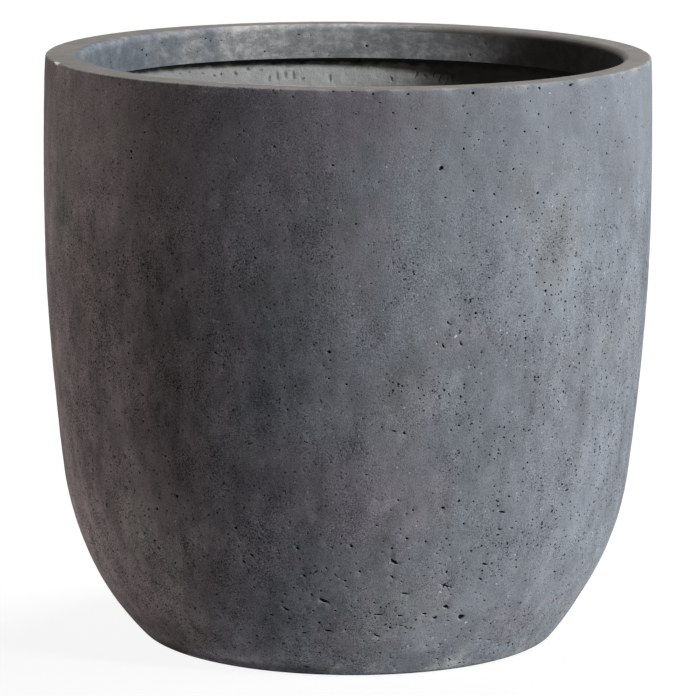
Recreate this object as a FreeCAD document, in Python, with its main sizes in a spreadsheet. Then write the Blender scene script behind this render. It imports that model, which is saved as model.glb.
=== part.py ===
import FreeCAD
import Part
import Sketcher

import math
import os
import re

# A round floor planter, hand laid in a mould. A thin face coat forms everything that shows outside and
# folds over the lip, a packed core fills the lip, glass mat and a rough backing line the wall, a slab
# makes the floor, and a rubber plug closes the drain. +Z is up and the origin is the middle of the base.

# Driving sizes in millimetres, apart from the counts: alias, value, meaning.
SIZES = [
    ("body_diameter", 400, "outside at the widest place"),
    ("height", 386, "ground to the top of the lip"),
    ("belly_height", 312, "ground to the widest place"),
    ("heel_height", 114, "ground to where the side turns into the heel"),
    ("heel_inset", 12, "heel inside the widest place, on the radius"),
    ("foot_inset", 65, "foot inside the widest place, on the radius, before it is rounded"),
    ("foot_rounding", 12, "rounding between heel and base"),
    ("least_rounding", 0.5, "rounding left where a layer would take up the whole foot rounding"),
    ("skin_thickness", 4, "face coat"),
    ("lip_width", 22, "lip across its top, outside to mouth"),
    ("lip_depth", 23, "lip from its top to its underside"),
    ("lip_outer_rounding", 1.6, "rounding on the lip's outer edge"),
    ("lip_mouth_rounding", 3.2, "rounding on the lip's mouth edge"),
    ("mat_thickness", 1, "glass mat"),
    ("strip_count", 8, "strips of mat round the wall"),
    ("strip_gap", 2, "space between neighbouring pieces of mat"),
    ("backing_thickness", 6, "rough backing on the wall"),
    ("slab_thickness", 9, "floor slab"),
    ("slab_margin", 6, "level backing between the slab and the cove"),
    ("cove_radius", 25, "inside rounding between wall and floor"),
    ("bond_gap", 0.1, "bond line between two layers"),
    ("drain_diameter", 26, "drain hole"),
    ("mat_drain_margin", 2, "mat held back from the drain hole, on the radius"),
    ("plug_fit", 0.3, "plug's clearance in the drain hole, on the radius"),
    ("plug_ground_gap", 2, "plug's foot above the ground"),
    ("flange_diameter", 44, "plug's flange"),
    ("flange_thickness", 4.5, "plug's flange"),
    ("flange_rounding", 2, "rounding on the flange's top edge"),
    ("rib_count", 2, "sealing ribs on the plug's stem"),
    ("rib_depth", 0.8, "sealing rib over the stem, on the radius"),
    ("rib_width", 1.6, "sealing rib along the stem"),
    ("stem_chamfer", 1.5, "lead-in at the stem's foot"),
    ("core_diameter", 12, "hollow in the plug's stem"),
    ("core_roof", 3, "plug left between the hollow and the flange's top"),
]
ALIASES = [alias for alias, _, _ in SIZES]

# Offsets of each layer's faces from the mould line, which is the planter's outer face. The layers lie on
# the base in the same order, so the offsets are levels there.
SKIN_BACK = "skin_thickness"
MAT_FRONT = f"{SKIN_BACK} + bond_gap"
MAT_BACK = f"{MAT_FRONT} + mat_thickness"
BACKING_FRONT = f"{MAT_BACK} + bond_gap"
BACKING_FACE = f"{BACKING_FRONT} + backing_thickness"
FLOOR = f"{BACKING_FRONT} + slab_thickness"
LEDGE = "height - lip_depth"
LAYER_TOP = f"{LEDGE} - bond_gap"
DRAIN_RADIUS = "drain_diameter / 2"

# The mould line's radii, and the radius of its side arc, which is upright at the belly and meets the heel.
BELLY = "body_diameter / 2"
HEEL = f"{BELLY} - heel_inset"
FOOT = f"{BELLY} - foot_inset"
SIDE_RADIUS = "(heel_inset ^ 2 + (belly_height - heel_height) ^ 2) / (2 * heel_inset)"

# A sketch's numbers for the points of a curve, and for its level and upright axes, which meet at its origin.
FIRST, LAST, CENTRE = range(1, 4)
GROUND, AXIS = range(-1, -3, -1)
ORIGIN = (GROUND, FIRST)


def make_sheet(doc):
    """The spreadsheet that holds the driving sizes, one row each."""
    sheet = doc.addObject("Spreadsheet::Sheet", "sizes")
    for row, (alias, number, meaning) in enumerate(SIZES, start=1):
        sheet.set(f"A{row}", meaning)
        sheet.set(f"B{row}", str(number))
        sheet.setAlias(f"B{row}", alias)
    doc.recompute()
    return sheet


doc = FreeCAD.newDocument("planter")
sheet = make_sheet(doc)


def bound(expression):
    """An expression over the sizes, as an object of the document has to write it."""
    return re.sub(r"[a-z_]+", lambda m: f"sizes.{m[0]}" if m[0] in ALIASES else m[0], expression)


def value(expression):
    """What an expression over the sizes comes to."""
    return float(sheet.evalExpression(bound(expression)))


def foot_rounding(offset):
    """Rounding of the foot on a face that lies this far inside the mould line."""
    return f"max(foot_rounding - ({offset}); least_rounding)"


class MouldLine:
    """The outer face's half section: a heel arc from the foot and a side arc up to the lip."""

    def __init__(self):
        self.foot = FreeCAD.Vector(value(FOOT), 0)
        self.heel = FreeCAD.Vector(value(HEEL), value("heel_height"))
        self.side_radius = value(SIDE_RADIUS)
        self.side_centre = FreeCAD.Vector(value(BELLY) - self.side_radius, value("belly_height"))
        self.outward = (self.heel - self.side_centre).normalize()
        drop = self.foot - self.heel
        self.heel_radius = -drop.dot(drop) / (2 * drop.dot(self.outward))
        self.heel_centre = self.heel - self.outward * self.heel_radius
        self.rim = self.on_side(value("height"), 0)

    def on_side(self, level, offset):
        """Where the side arc, moved in by the offset, passes this level."""
        rise = level - self.side_centre.y
        across = math.sqrt((self.side_radius - offset) ** 2 - rise**2)
        return FreeCAD.Vector(self.side_centre.x + across, level)

    def heel_rounding_centre(self, floor, offset, radius):
        """Centre of a rounding between a floor at this level and the heel arc moved in by the offset."""
        rise = floor + radius - self.heel_centre.y
        across = math.sqrt((self.heel_radius - offset - radius) ** 2 - rise**2)
        return FreeCAD.Vector(self.heel_centre.x + across, floor + radius)


class Section:
    """A half section of one body in its upright plane, held by the sheet's sizes."""

    def __init__(self, body):
        self.sketch = body.newObject("Sketcher::SketchObject", f"{body.Name}_section")
        plane = next(f for f in body.Origin.OriginFeatures if f.Role == "XZ_Plane")
        self.sketch.AttachmentSupport = [(plane, "")]
        self.sketch.MapMode = "FlatFace"
        self.mould = MouldLine()
        self.sizes_used = 0

    def point(self, across, up):
        return FreeCAD.Vector(value(across), value(up))

    def line(self, start, end):
        return self.sketch.addGeometry(Part.LineSegment(start, end), False)

    def arc(self, centre, start, end, construction=False):
        """An arc that runs counter-clockwise from start to end."""
        circle = Part.Circle(centre, FreeCAD.Vector(0, 0, 1), (start - centre).Length)
        turns = [math.atan2(p.y - centre.y, p.x - centre.x) for p in (start, end)]
        return self.sketch.addGeometry(Part.ArcOfCircle(circle, *turns), construction)

    def chain(self, *points):
        """Lines through these points, joined end to end. Gives their indices."""
        lines = [self.line(a, b) for a, b in zip(points, points[1:])]
        for one, other in zip(lines, lines[1:]):
            self.meet((one, LAST), (other, FIRST))
        return lines

    def end_of(self, curve):
        return self.sketch.Geometry[curve].EndPoint

    def start_of(self, curve):
        return self.sketch.Geometry[curve].StartPoint

    def hold(self, kind, *where):
        return self.sketch.addConstraint(Sketcher.Constraint(kind, *where))

    def measure(self, kind, where, expression):
        """A dimension, bound to the sheet."""
        index = self.hold(kind, *where, value(expression))
        self.sizes_used += 1
        name = f"size_{self.sizes_used}"
        self.sketch.renameConstraint(index, name)
        self.sketch.setExpression(f"Constraints.{name}", bound(expression))

    def across(self, end, expression):
        self.measure("DistanceX", (*ORIGIN, *end), expression)

    def up(self, end, expression):
        self.measure("DistanceY", (*ORIGIN, *end), expression)

    def across_from(self, end, other, expression):
        """How far other lies outside end."""
        self.measure("DistanceX", (*end, *other), expression)

    def radius(self, curve, expression):
        self.measure("Radius", (curve,), expression)

    def meet(self, one, other):
        self.hold("Coincident", *one, *other)

    def smooth(self, one, other):
        """Two ends meet and run on without a corner."""
        self.hold("Tangent", *one, *other)

    def level(self, *lines):
        for line in lines:
            self.hold("Horizontal", line)

    def upright(self, *lines):
        for line in lines:
            self.hold("Vertical", line)

    def draw_mould_line(self):
        """The mould line as construction arcs, which every layer's faces are offset from."""
        m = self.mould
        self.heel = self.arc(m.heel_centre, m.foot, m.heel, construction=True)
        self.side = self.arc(m.side_centre, m.heel, m.rim, construction=True)
        self.hold("PointOnObject", self.heel, FIRST, GROUND)
        self.across((self.heel, FIRST), FOOT)
        self.smooth((self.heel, LAST), (self.side, FIRST))
        self.across((self.side, FIRST), HEEL)
        self.up((self.side, FIRST), "heel_height")
        self.up((self.side, CENTRE), "belly_height")
        self.radius(self.side, SIDE_RADIUS)
        self.up((self.side, LAST), "height")

    def wall(self, offset, floor, rounding, top, construction=False):
        """A face this far inside the mould line: floor rounding, heel arc, side arc. Gives their indices."""
        m = self.mould
        inset = value(offset)
        centre = m.heel_rounding_centre(value(floor), inset, value(rounding))
        turn = m.heel_centre + (centre - m.heel_centre).normalize() * (m.heel_radius - inset)
        heel_end = m.heel - m.outward * inset
        corner = self.arc(centre, FreeCAD.Vector(centre.x, value(floor)), turn, construction)
        heel = self.arc(m.heel_centre, turn, heel_end, construction)
        side = self.arc(m.side_centre, heel_end, m.on_side(value(top), inset), construction)
        self.meet((heel, CENTRE), (self.heel, CENTRE))
        self.meet((side, CENTRE), (self.side, CENTRE))
        self.smooth((heel, LAST), (side, FIRST))
        if inset:
            self.measure("Distance", (heel, LAST, self.heel, LAST), offset)
        else:
            self.hold("Equal", heel, self.heel)
        self.smooth((corner, LAST), (heel, FIRST))
        self.radius(corner, rounding)
        return corner, heel, side


def new_body(label):
    body = doc.addObject("PartDesign::Body", label)
    body.Label = label
    return body


def revolve(body, section, turn=None):
    """Turns a section about the upright axis, all the way round or through an angle in degrees."""
    doc.recompute()
    feature = body.newObject("PartDesign::Revolution", f"{body.Name}_turned")
    feature.Profile = section.sketch
    feature.ReferenceAxis = (section.sketch, ["V_Axis"])
    if turn:
        feature.setExpression("Angle", bound(turn))
    body.Tip = feature
    doc.recompute()
    return feature


def make_face_shell():
    """The face coat: outside, over the lip and down the mouth, with the drain hole in its base."""
    body = new_body("face_shell")
    s = Section(body)
    s.draw_mould_line()
    m = s.mould
    roof = "height - skin_thickness"

    # Outer face, up to the rounded outer edge of the lip.
    corner, _, side = s.wall("0", "0", foot_rounding("0"), "height - lip_outer_rounding")
    round_off = value("lip_outer_rounding")
    edge_centre = m.on_side(value("height") - round_off, round_off)
    edge_start = m.side_centre + (edge_centre - m.side_centre).normalize() * m.side_radius
    edge = s.arc(edge_centre, edge_start, FreeCAD.Vector(edge_centre.x, value("height")))
    s.smooth((side, LAST), (edge, FIRST))
    s.radius(edge, "lip_outer_rounding")

    # Lip top, rounded mouth edge, and the band down to the lip's underside.
    mouth = m.rim.x - value("lip_width")
    ease = value("lip_mouth_rounding")
    top_end = FreeCAD.Vector(mouth + ease, value("height"))
    band_start = FreeCAD.Vector(mouth, value("height") - ease)
    top = s.line(s.end_of(edge), top_end)
    mouth_edge = s.arc(FreeCAD.Vector(top_end.x, band_start.y), top_end, band_start)
    s.smooth((edge, LAST), (top, FIRST))
    s.level(top)
    s.up((top, FIRST), "height")
    s.smooth((top, LAST), (mouth_edge, FIRST))
    s.radius(mouth_edge, "lip_mouth_rounding")

    # Back of the coat: the band's foot, up behind the band, across under the lip top, down the wall.
    inner_corner, _, inner_side = s.wall(SKIN_BACK, SKIN_BACK, foot_rounding(SKIN_BACK), roof)
    behind = mouth + value("skin_thickness")
    band, band_foot, band_back, lip_roof = s.chain(
        band_start,
        FreeCAD.Vector(mouth, value(LEDGE)),
        FreeCAD.Vector(behind, value(LEDGE)),
        FreeCAD.Vector(behind, value(roof)),
        s.end_of(inner_side),
    )
    s.smooth((mouth_edge, LAST), (band, FIRST))
    s.across_from((band, LAST), (s.side, LAST), "lip_width")
    s.up((band, LAST), LEDGE)
    s.level(band_foot, lip_roof)
    s.upright(band, band_back)
    s.across_from((band_foot, FIRST), (band_foot, LAST), "skin_thickness")
    s.up((lip_roof, FIRST), roof)
    s.meet((lip_roof, LAST), (inner_side, LAST))

    # Base, between the foot and the drain hole.
    base_top, drain, base = s.chain(
        s.start_of(inner_corner),
        s.point(DRAIN_RADIUS, SKIN_BACK),
        s.point(DRAIN_RADIUS, "0"),
        s.start_of(corner),
    )
    s.smooth((inner_corner, FIRST), (base_top, FIRST))
    s.smooth((base, LAST), (corner, FIRST))
    s.level(base_top, base)
    s.upright(drain)
    s.up((drain, FIRST), SKIN_BACK)
    s.across((drain, LAST), DRAIN_RADIUS)
    s.hold("PointOnObject", drain, LAST, GROUND)
    revolve(body, s)
    return body


def make_lip_core():
    """The packed ring inside the lip, whose underside makes the ledge below the mouth."""
    body = new_body("lip_core")
    s = Section(body)
    s.draw_mould_line()
    m = s.mould
    roof = "height - skin_thickness - bond_gap"
    behind_band = "lip_width - skin_thickness - bond_gap"
    start = m.on_side(value(LEDGE), value(MAT_FRONT))
    end = m.on_side(value(roof), value(MAT_FRONT))
    inner = m.rim.x - value(behind_band)
    side = s.arc(m.side_centre, start, end)
    top, back, ledge = s.chain(
        end, FreeCAD.Vector(inner, value(roof)), FreeCAD.Vector(inner, value(LEDGE)), start
    )
    s.meet((side, CENTRE), (s.side, CENTRE))
    s.radius(side, f"{SIDE_RADIUS} - ({MAT_FRONT})")
    s.meet((side, LAST), (top, FIRST))
    s.meet((ledge, LAST), (side, FIRST))
    s.level(top, ledge)
    s.upright(back)
    s.across_from((back, FIRST), (s.side, LAST), behind_band)
    s.up((back, FIRST), roof)
    s.up((back, LAST), LEDGE)
    revolve(body, s)
    return body


def make_mat_wall_strips():
    """Strips of glass mat side by side round the wall, from under the lip to the foot."""
    body = new_body("mat_wall_strips")
    body.AllowCompound = True
    s = Section(body)
    s.draw_mould_line()
    front = s.wall(MAT_FRONT, MAT_FRONT, foot_rounding(MAT_FRONT), LAYER_TOP)
    back = s.wall(MAT_BACK, MAT_BACK, foot_rounding(MAT_BACK), LAYER_TOP)
    top = s.line(s.end_of(front[-1]), s.end_of(back[-1]))
    foot = s.line(s.start_of(back[0]), s.start_of(front[0]))
    s.meet((front[-1], LAST), (top, FIRST))
    s.meet((top, LAST), (back[-1], LAST))
    s.meet((back[0], FIRST), (foot, FIRST))
    s.meet((foot, LAST), (front[0], FIRST))
    s.level(top)
    s.up((top, FIRST), LAYER_TOP)
    for corner, floor in ((front[0], MAT_FRONT), (back[0], MAT_BACK)):
        s.up((corner, FIRST), floor)
        s.hold("Vertical", corner, FIRST, corner, CENTRE)
    strip = revolve(body, s, f"360 / strip_count - strip_gap / ({BELLY}) * 180 / pi")
    pattern = body.newObject("PartDesign::PolarPattern", "mat_strips_round")
    pattern.Originals = [strip]
    pattern.Axis = (s.sketch, ["V_Axis"])
    pattern.setExpression("Occurrences", bound("strip_count"))
    body.Tip = pattern
    doc.recompute()
    return body


def make_disc(label, hole, wall_face, margin, bottom, top):
    """A disc with a hole that lies on the base, its edge held in from the rounding of a wall's face."""
    body = new_body(label)
    s = Section(body)
    s.draw_mould_line()
    corner, _, side = s.wall(*wall_face, LAYER_TOP, construction=True)
    s.up((side, LAST), LAYER_TOP)
    s.up((corner, FIRST), wall_face[1])
    s.hold("Vertical", corner, FIRST, corner, CENTRE)
    edge = s.start_of(corner).x - value(margin)
    lower, outer, upper, inner = s.chain(
        s.point(hole, bottom),
        FreeCAD.Vector(edge, value(bottom)),
        FreeCAD.Vector(edge, value(top)),
        s.point(hole, top),
        s.point(hole, bottom),
    )
    s.meet((inner, LAST), (lower, FIRST))
    s.level(lower, upper)
    s.upright(outer, inner)
    s.across((lower, FIRST), hole)
    s.across_from((outer, FIRST), (corner, FIRST), margin)
    s.up((lower, FIRST), bottom)
    s.up((upper, FIRST), top)
    revolve(body, s)
    return body


def make_backing_wall():
    """The rough backing on the wall, with the cove that runs out to the floor."""
    body = new_body("backing_wall")
    s = Section(body)
    s.draw_mould_line()
    front = s.wall(BACKING_FRONT, BACKING_FRONT, foot_rounding(BACKING_FRONT), LAYER_TOP)
    face = s.wall(BACKING_FACE, FLOOR, "cove_radius", LAYER_TOP)
    top = s.line(s.end_of(front[-1]), s.end_of(face[-1]))
    seam = s.start_of(face[0]).x - value("slab_margin")
    margin, slab_seam, base = s.chain(
        s.start_of(face[0]),
        FreeCAD.Vector(seam, value(FLOOR)),
        FreeCAD.Vector(seam, value(BACKING_FRONT)),
        s.start_of(front[0]),
    )
    s.meet((front[-1], LAST), (top, FIRST))
    s.meet((top, LAST), (face[-1], LAST))
    s.level(top, margin, base)
    s.up((top, FIRST), LAYER_TOP)
    s.smooth((face[0], FIRST), (margin, FIRST))
    s.smooth((base, LAST), (front[0], FIRST))
    s.upright(slab_seam)
    s.across_from((margin, LAST), (margin, FIRST), "slab_margin")
    s.up((slab_seam, FIRST), FLOOR)
    s.up((slab_seam, LAST), BACKING_FRONT)
    revolve(body, s)
    return body


def make_drain_plug():
    """The moulded rubber plug: a flange on the floor and a ribbed, hollow stem in the drain hole."""
    body = new_body("drain_plug")
    s = Section(body)
    rib_radius = f"{DRAIN_RADIUS} - plug_fit"
    stem_radius = f"{rib_radius} - rib_depth"
    stem_foot = "plug_ground_gap + stem_chamfer"
    core_radius = "core_diameter / 2"
    flange_radius = "flange_diameter / 2"
    flange_top = f"{FLOOR} + flange_thickness"
    rounding_foot = f"{flange_top} - flange_rounding"
    core_top = f"{flange_top} - core_roof"

    # Hollow, foot and lead-in, from the middle outwards.
    corners = [
        ("0", core_top),
        (core_radius, core_top),
        (core_radius, "plug_ground_gap"),
        (f"{stem_radius} - stem_chamfer", "plug_ground_gap"),
        (stem_radius, stem_foot),
    ]
    # Sealing ribs, evenly spaced up the stem, each with a sloping foot and a square top.
    for rib in range(1, int(value("rib_count")) + 1):
        middle = f"{stem_foot} + ({FLOOR} - ({stem_foot})) * {rib} / (rib_count + 1)"
        rib_top = f"{middle} + rib_width / 2"
        corners += [(stem_radius, f"{middle} - rib_width / 2"), (rib_radius, rib_top), (stem_radius, rib_top)]
    # Flange, up to where its rounded top edge begins.
    corners += [(stem_radius, FLOOR), (flange_radius, FLOOR), (flange_radius, rounding_foot)]
    points = [s.point(*corner) for corner in corners]
    sides = s.chain(*points)
    for side, (out, level) in zip(sides, corners[1:]):
        s.across((side, LAST), out)
        s.up((side, LAST), level)

    # Rounded edge, top, and the axis that closes the section.
    rounding_end = s.point(f"{flange_radius} - flange_rounding", flange_top)
    edge = s.arc(FreeCAD.Vector(rounding_end.x, points[-1].y), points[-1], rounding_end)
    top, axis = s.chain(rounding_end, s.point("0", flange_top), points[0])
    s.smooth((sides[-1], LAST), (edge, FIRST))
    s.radius(edge, "flange_rounding")
    s.smooth((edge, LAST), (top, FIRST))
    s.meet((axis, LAST), (sides[0], FIRST))
    s.level(sides[0], top)
    s.upright(axis)
    s.hold("PointOnObject", axis, FIRST, AXIS)
    revolve(body, s)
    return body


def check_document():
    """Stops before anything is written if an object of the document has failed."""
    failed = [o.Name for o in doc.Objects if {"Invalid", "Error"} & set(o.State)]
    if failed:
        raise RuntimeError(f"failed objects: {failed}")


def write(body):
    if body.Shape.isNull() or not body.Shape.isValid():
        raise RuntimeError(f"{body.Label} has no valid shape")
    body.Shape.exportStep(f"parts/{body.Label}.step")
    print(f"{body.Label}: {len(body.Shape.Solids)} solids, {body.Shape.Volume:.1f} cubic mm")


bodies = [
    make_face_shell(),
    make_lip_core(),
    make_mat_wall_strips(),
    make_disc(
        "mat_floor_disc",
        f"{DRAIN_RADIUS} + mat_drain_margin",
        (MAT_FRONT, MAT_FRONT, foot_rounding(MAT_FRONT)),
        "strip_gap",
        MAT_FRONT,
        MAT_BACK,
    ),
    make_backing_wall(),
    make_disc(
        "floor_slab",
        DRAIN_RADIUS,
        (BACKING_FACE, FLOOR, "cove_radius"),
        "slab_margin + bond_gap",
        BACKING_FRONT,
        FLOOR,
    ),
    make_drain_plug(),
]
doc.recompute()
check_document()
os.makedirs("parts", exist_ok=True)
for body in bodies:
    write(body)
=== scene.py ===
import math
import random
from bisect import bisect_left, bisect_right
from collections import defaultdict, namedtuple
from functools import partial, reduce

import bpy
import numpy as np
from mathutils import Matrix, Vector, noise
from mathutils.geometry import delaunay_2d_cdt


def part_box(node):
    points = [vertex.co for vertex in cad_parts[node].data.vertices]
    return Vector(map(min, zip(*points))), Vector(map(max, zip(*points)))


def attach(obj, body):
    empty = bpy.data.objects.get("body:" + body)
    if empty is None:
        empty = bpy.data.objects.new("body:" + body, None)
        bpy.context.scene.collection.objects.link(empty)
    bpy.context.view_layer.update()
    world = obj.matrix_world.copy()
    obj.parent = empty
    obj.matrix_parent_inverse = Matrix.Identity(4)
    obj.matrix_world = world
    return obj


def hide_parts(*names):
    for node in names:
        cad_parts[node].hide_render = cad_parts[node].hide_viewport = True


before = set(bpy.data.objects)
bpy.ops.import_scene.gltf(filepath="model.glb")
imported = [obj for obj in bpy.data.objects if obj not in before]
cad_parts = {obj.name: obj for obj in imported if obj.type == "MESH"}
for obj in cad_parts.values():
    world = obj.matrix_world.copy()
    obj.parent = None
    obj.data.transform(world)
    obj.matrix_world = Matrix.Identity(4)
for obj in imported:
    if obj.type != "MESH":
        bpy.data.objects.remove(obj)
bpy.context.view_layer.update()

# The looks of a round floor planter, hand laid in fibre cement: a pitted charcoal face coat, a rough paler
# inside with the marks of glass mat, a trowelled floor and a black rubber drain plug. Every piece is a half
# section turned about +Z, with its pits and marks cut into the mesh. Lengths are metres.

# Sizes that the frame holds.
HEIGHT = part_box("face_shell")[1].z
BELLY_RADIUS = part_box("face_shell")[1].x
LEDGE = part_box("lip_core")[0].z
LAYER_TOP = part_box("backing_wall")[1].z
BASE_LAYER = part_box("floor_slab")[0].z
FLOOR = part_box("floor_slab")[1].z
SLAB_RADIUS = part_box("floor_slab")[1].x
PLUG_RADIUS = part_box("drain_plug")[1].x
PLUG_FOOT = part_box("drain_plug")[0].z
PLUG_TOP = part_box("drain_plug")[1].z

# Sizes of the sections that a box doesn't show.
BELLY_HEIGHT = 0.312
HEEL_HEIGHT = 0.114
HEEL_INSET = 0.012
FOOT_INSET = 0.065
FOOT_ROUNDING = 0.012
SKIN = 0.004
LIP_WIDTH = 0.022
LIP_OUTER_ROUNDING = 0.0016
LIP_MOUTH_ROUNDING = 0.0045
BOND = 0.0001
BACKING = 0.006
COVE = 0.025
DRAIN_RADIUS = 0.013
PLUG_FIT = 0.0003
RIB_DEPTH = 0.0008
RIB_WIDTH = 0.0016
RIB_COUNT = 2
STEM_CHAMFER = 0.0015
FLANGE_ROUNDING = 0.002
FLANGE_DISH = 0.0012
CORE_RADIUS = 0.006
CORE_ROOF = 0.003

# The pot is hand made: its mouth and its foot lie a little off the body's axis, towards +X.
MOUTH_SHIFT = 0.0036
FOOT_SHIFT = 0.0022
FOOT_SHIFT_HEIGHT = 0.03
FOOT_SHIFT_START_SHARE = 1 / 3

# The photograph's camera, found by fitting the outline: pixels of its square image, sensor in millimetres.
IMAGE_SIZE = 696
FOCAL_PIXELS = 4594
AIM_PIXEL = (346.9, 343.4)
CAMERA_DISTANCE = 3.045
CAMERA_ELEVATION = math.radians(10.1)
CAMERA_ROLL = math.radians(0.297)
SENSOR_WIDTH = 36

# Points of a mesh: rows follow the section and columns go round. Hidden faces have fewer.
FINE_STEP = 0.005
BASE_STEP = FINE_STEP * 2
NARROW_STEP = FINE_STEP / 2
FOOT_STEP = FINE_STEP / 3
EDGE_STEP = 0.0006
HIDDEN_STEP = 0.03
FINE_COLUMNS = 250
HIDDEN_COLUMNS = 125
HIDDEN_MAP_SHARE = 0.06
SEAM_ANGLE = math.pi / 2
SHARP_ANGLE = math.radians(50)
SMALLEST = 1e-9

Mark = namedtuple("Mark", "turn along half_length half_width slant depth fresh", defaults=[0.0])
Stretch = namedtuple("Stretch", "zone curve step columns")


class Line:
    """A straight stretch of a half section, between two (radius, height) points."""

    def __init__(self, start, end):
        self.start, self.end = Vector(start), Vector(end)
        self.length = (self.end - self.start).length

    def backwards(self):
        return Line(self.end, self.start)

    def place(self, along):
        way = np.array(self.end - self.start) / self.length
        points = np.array(self.start) + np.outer(along, way)
        return points, np.tile([way[1], -way[0]], (len(along), 1))


class Arc:
    """A round stretch of a half section, from one (radius, height) point to another the short way round."""

    def __init__(self, centre, start, end):
        self.centre, self.start, self.end = Vector(centre), Vector(start), Vector(end)
        first, last = self.start - self.centre, self.end - self.centre
        self.radius = first.length
        self.from_angle = math.atan2(first.y, first.x)
        self.turn = math.atan2(first.x * last.y - first.y * last.x, first.dot(last))
        self.length = self.radius * abs(self.turn)

    def backwards(self):
        return Arc(self.centre, self.end, self.start)

    def place(self, along):
        angles = self.from_angle + self.turn * along / self.length
        rays = np.stack([np.cos(angles), np.sin(angles)], axis=-1)
        return np.array(self.centre) + self.radius * rays, math.copysign(1, self.turn) * rays


def lines(*corners):
    """Straight stretches from each corner to the next."""
    return [Line(start, end) for start, end in zip(corners, corners[1:])]


def backwards(curves):
    """The same curves, walked the other way."""
    return [curve.backwards() for curve in reversed(curves)]


class Mould:
    """The planter's outer face in half section: a heel arc from the foot and a side arc up to the lip."""

    side_radius = (HEEL_INSET**2 + (BELLY_HEIGHT - HEEL_HEIGHT) ** 2) / (2 * HEEL_INSET)
    side_centre = Vector((BELLY_RADIUS - side_radius, BELLY_HEIGHT))
    heel = Vector((BELLY_RADIUS - HEEL_INSET, HEEL_HEIGHT))
    outward = (heel - side_centre).normalized()
    drop = Vector((BELLY_RADIUS - FOOT_INSET, 0)) - heel
    heel_radius = -drop.dot(drop) / (2 * drop.dot(outward))
    heel_centre = heel - outward * heel_radius

    @classmethod
    def side_at(cls, height, offset):
        """Where the side arc, moved in by the offset, passes this height."""
        rise = height - cls.side_centre.y
        return Vector((cls.side_centre.x + math.sqrt((cls.side_radius - offset) ** 2 - rise**2), height))

    @classmethod
    def face(cls, offset, floor, rounding, top):
        """A face this far inside the outer one, upwards: rounding off the floor, heel arc, side arc."""
        rise = floor + rounding - cls.heel_centre.y
        reach = math.sqrt((cls.heel_radius - offset - rounding) ** 2 - rise**2)
        centre = Vector((cls.heel_centre.x + reach, floor + rounding))
        turn = cls.heel_centre + (centre - cls.heel_centre).normalized() * (cls.heel_radius - offset)
        heel_end = cls.heel - cls.outward * offset
        return [
            Arc(centre, (centre.x, floor), turn),
            Arc(cls.heel_centre, turn, heel_end),
            Arc(cls.side_centre, heel_end, cls.side_at(top, offset)),
        ]


RIM_RADIUS = Mould.side_at(HEIGHT, 0).x
MOUTH_RADIUS = RIM_RADIUS - LIP_WIDTH


class Section:
    """A half section's outline, walked with the solid on its left."""

    def __init__(self, stretches):
        self.stretches = stretches
        self.starts = np.cumsum([0] + [s.curve.length for s in stretches])
        self.length = self.starts[-1]

    def rows(self):
        """Where along the outline the mesh has a row of points, and how many there are in it."""
        for stretch, start in zip(self.stretches, self.starts):
            count = max(1, round(stretch.curve.length / stretch.step))
            for row in range(count):
                yield start + stretch.curve.length * row / count, stretch.columns
        yield self.length, self.stretches[0].columns

    def which(self, along):
        return np.clip(np.searchsorted(self.starts, along, side="right") - 1, 0, len(self.stretches) - 1)

    def place(self, along):
        """Points and outward normals at these lengths along the outline, both as (radius, height)."""
        points, normals = np.empty((len(along), 2)), np.empty((len(along), 2))
        which = self.which(along)
        for index, stretch in enumerate(self.stretches):
            here = which == index
            points[here], normals[here] = stretch.curve.place(along[here] - self.starts[index])
        return points, normals

    def widening(self, along):
        """How many times wider the unrolled sheet is than the surface at these lengths along."""
        return BELLY_RADIUS / self.place(np.array(along, float))[0][:, 0] if len(along) else []

    def span(self, *zones):
        """Where the stretches of these zones start and end."""
        found = [i for i, s in enumerate(self.stretches) if s.zone in zones]
        return self.starts[found[0]], self.starts[found[-1] + 1]

    def share(self, along, *zones):
        """1 on the stretches of these zones, and 0 elsewhere."""
        inside = [s.zone in zones for s in self.stretches]
        return np.array(inside, float)[self.which(along)]

    def map_height(self, along):
        """The outline laid out from 0 to 1 for the finish's map, with the hidden faces pressed together."""
        weights = [1 if s.columns == FINE_COLUMNS else HIDDEN_MAP_SHARE for s in self.stretches]
        laid = np.cumsum([0] + [s.curve.length * w for s, w in zip(self.stretches, weights)])
        return np.interp(along, self.starts, laid / laid[-1])


def shown(zone, curve, step=FINE_STEP):
    return Stretch(zone, curve, step, FINE_COLUMNS)


def edge(zone, curve):
    return Stretch(zone, curve, EDGE_STEP, FINE_COLUMNS)


def hidden(*curves):
    return [Stretch("hidden", curve, HIDDEN_STEP, HIDDEN_COLUMNS) for curve in curves]


# Rings of a mark, from its rim to its floor: share of its half size, and share of its depth.
SMALL_RINGS_SHARES = [(1.45, 0), (1.04, 0.1), (0.76, 0.9)]
LARGE_RINGS_SHARES = [(1.4, 0), (1.05, 0.08), (0.85, 0.6), (0.5, 0.95)]
SMALL_RING_POINTS = 6
LARGE_RING_POINTS = 12
LARGE_MARK = 0.0011
RING_WAVE_SHARES = {2: 0.14, 3: 0.12, 5: 0.06}
FRESH_SHARE = 0.5
CLEAR_SHARE = 2.0


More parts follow.
